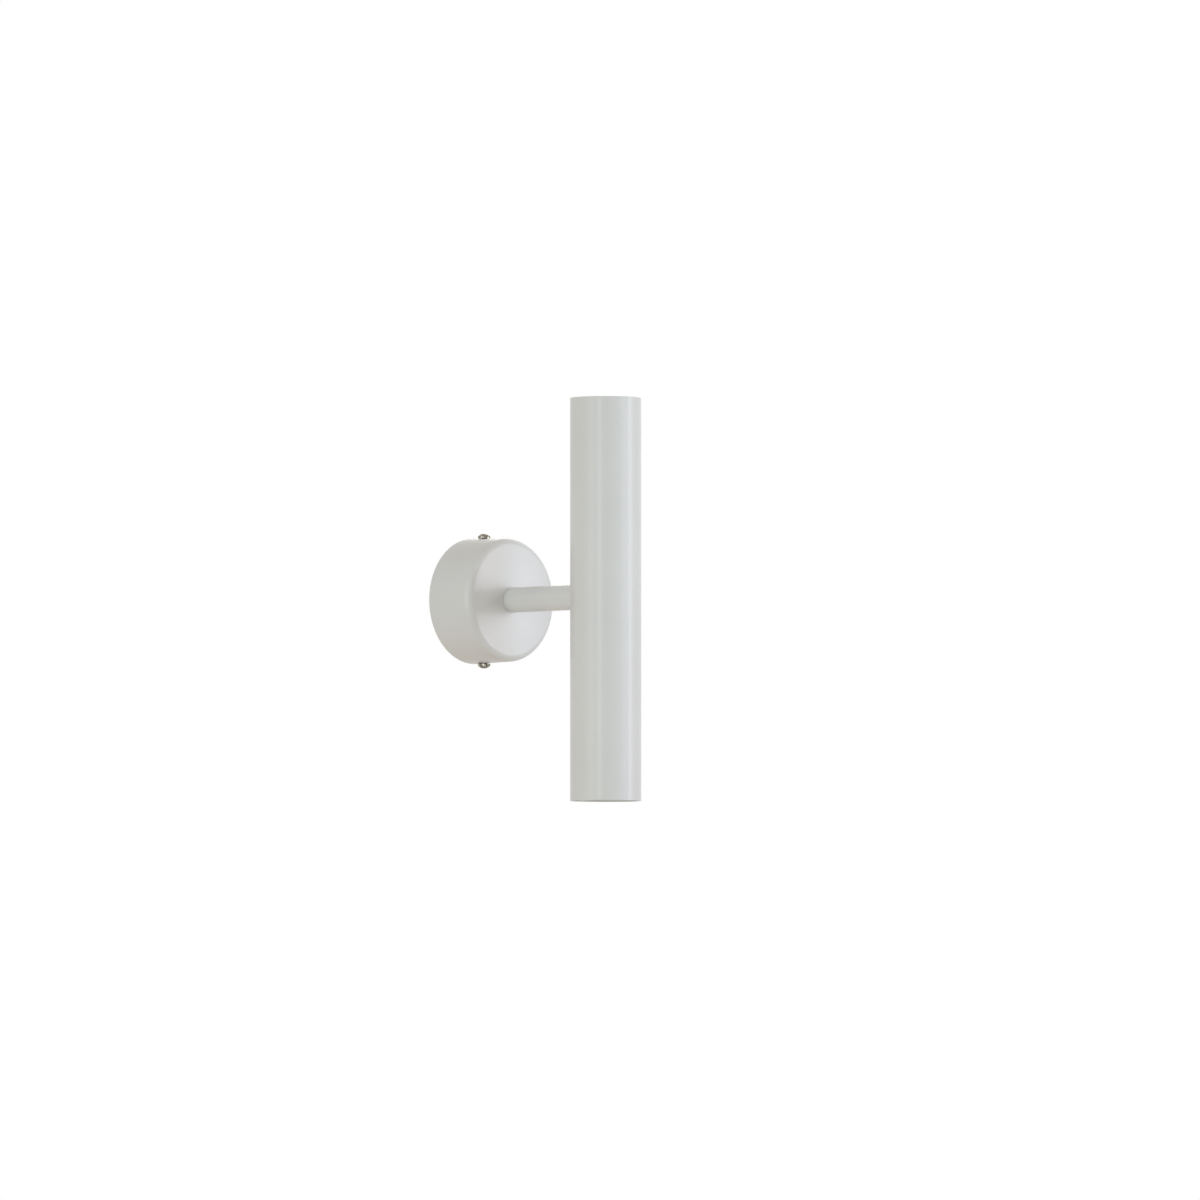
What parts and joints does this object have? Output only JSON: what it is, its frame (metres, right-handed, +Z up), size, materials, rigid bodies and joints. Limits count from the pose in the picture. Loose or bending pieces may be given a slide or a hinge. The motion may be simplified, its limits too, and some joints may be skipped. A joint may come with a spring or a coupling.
{
  "type": "twin wall light",
  "caption": "Up and down wall light: round canopy, short arm and an upright tube with a recessed twist-lock lamp at each end.",
  "frame": {"origin": "centre of the canopy on the wall plane, on the arm's axis", "axes": "+Z up along the light tube, +Y into the wall, -Y into the room, +X to the right when facing the wall"},
  "size_m": [0.08, 0.141, 0.255],
  "materials": {
    "white_coat": "fine textured white powder coat",
    "white_trim": "matt white paint",
    "nickel_screws": "nickel plated steel",
    "zinc_steel": "zinc plated steel",
    "terminal_plastic": "natural polyamide",
    "brass": "plain brass",
    "tinned_metal": "tinned copper",
    "earth_insulation": "green and yellow insulation",
    "lead_insulation": "heat resistant silicone insulation",
    "bush_plastic": "white nylon",
    "ceramic": "glazed steatite",
    "lamp_shell": "white coated aluminium",
    "lamp_cap_plastic": "white heat resistant plastic",
    "lens": "clear moulded lens",
    "lamp_board": "white coated metal board",
    "nickel_pins": "nickel plated brass"
  },
  "bodies": {
    "fixture": {"canopy_cover": "white_coat", "arm_tube": "white_coat", "light_tube": "white_coat", "cover_screws": "nickel_screws", "wall_bracket": "zinc_steel", "terminal_block": "terminal_plastic", "terminal_clamps": "brass", "terminal_screws": "zinc_steel", "terminal_fixing_screw": "zinc_steel", "earth_screw": "brass", "earth_washer": "brass", "earth_lug": "tinned_metal", "earth_tag": "tinned_metal", "earth_lead": "earth_insulation", "threaded_nipple": "zinc_steel", "canopy_nut": "zinc_steel", "lock_washer": "zinc_steel", "arm_bush": "bush_plastic", "saddle_washer": "zinc_steel", "tube_nut": "zinc_steel", "nipple_bushes": "bush_plastic", "lampholder_frame": "zinc_steel", "upper_lampholder": "ceramic", "upper_holder_screws": "zinc_steel", "upper_holder_contacts": "brass", "upper_trim_ring": "white_trim", "upper_lamp_leads": "lead_insulation", "lower_lampholder": "ceramic", "lower_holder_screws": "zinc_steel", "lower_holder_contacts": "brass", "lower_trim_ring": "white_trim", "lower_lamp_leads": "lead_insulation"},
    "upper_lamp": {"upper_lamp_body": "lamp_shell", "upper_lamp_cap": "lamp_cap_plastic", "upper_lamp_lens": "lens", "upper_lamp_board": "lamp_board", "upper_lamp_pins": "nickel_pins"},
    "lower_lamp": {"lower_lamp_body": "lamp_shell", "lower_lamp_cap": "lamp_cap_plastic", "lower_lamp_lens": "lens", "lower_lamp_board": "lamp_board", "lower_lamp_pins": "nickel_pins"}
  },
  "joints": [
    {"name": "upper_lamp_turn", "type": "hinge", "parent": "fixture", "child": "upper_lamp", "pos_m": [0, -0.1185, 0.0725], "axis": [0, 0, 1], "range_deg": [0, 30]},
    {"name": "lower_lamp_turn", "type": "hinge", "parent": "fixture", "child": "lower_lamp", "pos_m": [0, -0.1185, -0.0765], "axis": [0, 0, -1], "range_deg": [0, 30]}
  ]
}
